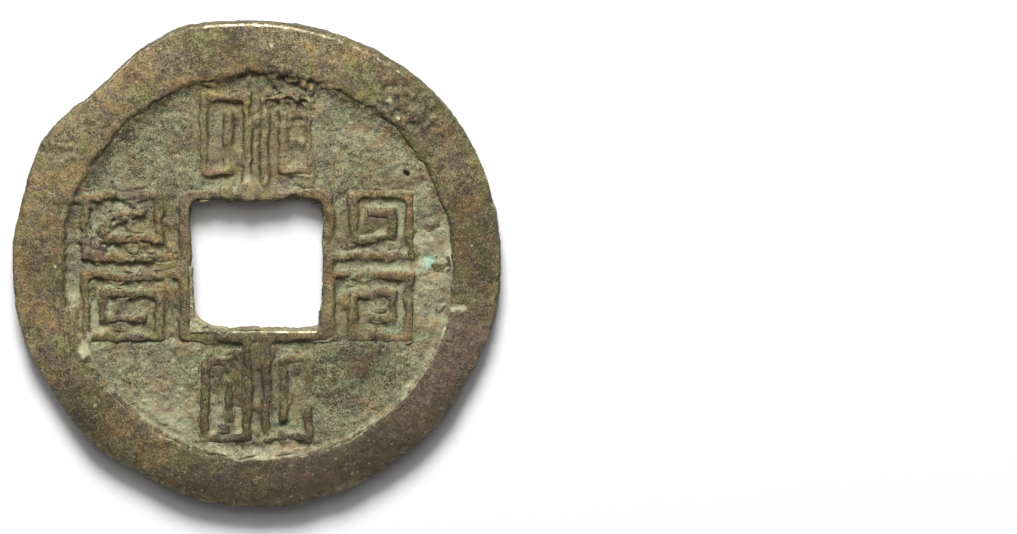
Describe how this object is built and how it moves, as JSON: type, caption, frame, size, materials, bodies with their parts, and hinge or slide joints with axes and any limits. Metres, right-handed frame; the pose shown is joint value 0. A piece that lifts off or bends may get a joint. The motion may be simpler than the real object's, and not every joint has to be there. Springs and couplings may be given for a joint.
{
  "type": "cash coin",
  "caption": "Worn round cast brass cash coin with a square string hole, raised rims and cast fret ornament on the obverse and bead strings on the reverse.",
  "frame": {"origin": "centre of the coin's outline on the plane that the reverse rim rests on", "axes": "+Z is the thickness, out of the obverse; +Y is the top of both faces, which share the Y line that the coin turns over about"},
  "size_m": [0.024, 0.024, 0.0015],
  "materials": {
    "cast_brass": "worn cast surface, brown patina with bare edges",
    "earth_crust": "dull granular earth, grey green to buff",
    "verdigris": "powdery pale green copper salts"
  },
  "bodies": {
    "root": {"coin_casting": "cast_brass", "obverse_upper_left_earth": "earth_crust", "obverse_upper_right_earth": "earth_crust", "obverse_lower_left_earth": "earth_crust", "obverse_lower_right_earth": "earth_crust", "obverse_right_crescent_earth": "earth_crust", "reverse_top_earth": "earth_crust", "reverse_bottom_earth": "earth_crust", "reverse_left_earth": "earth_crust", "reverse_right_earth": "earth_crust", "hole_corner_earth": "earth_crust", "verdigris_patch": "verdigris"}
  },
  "joints": []
}
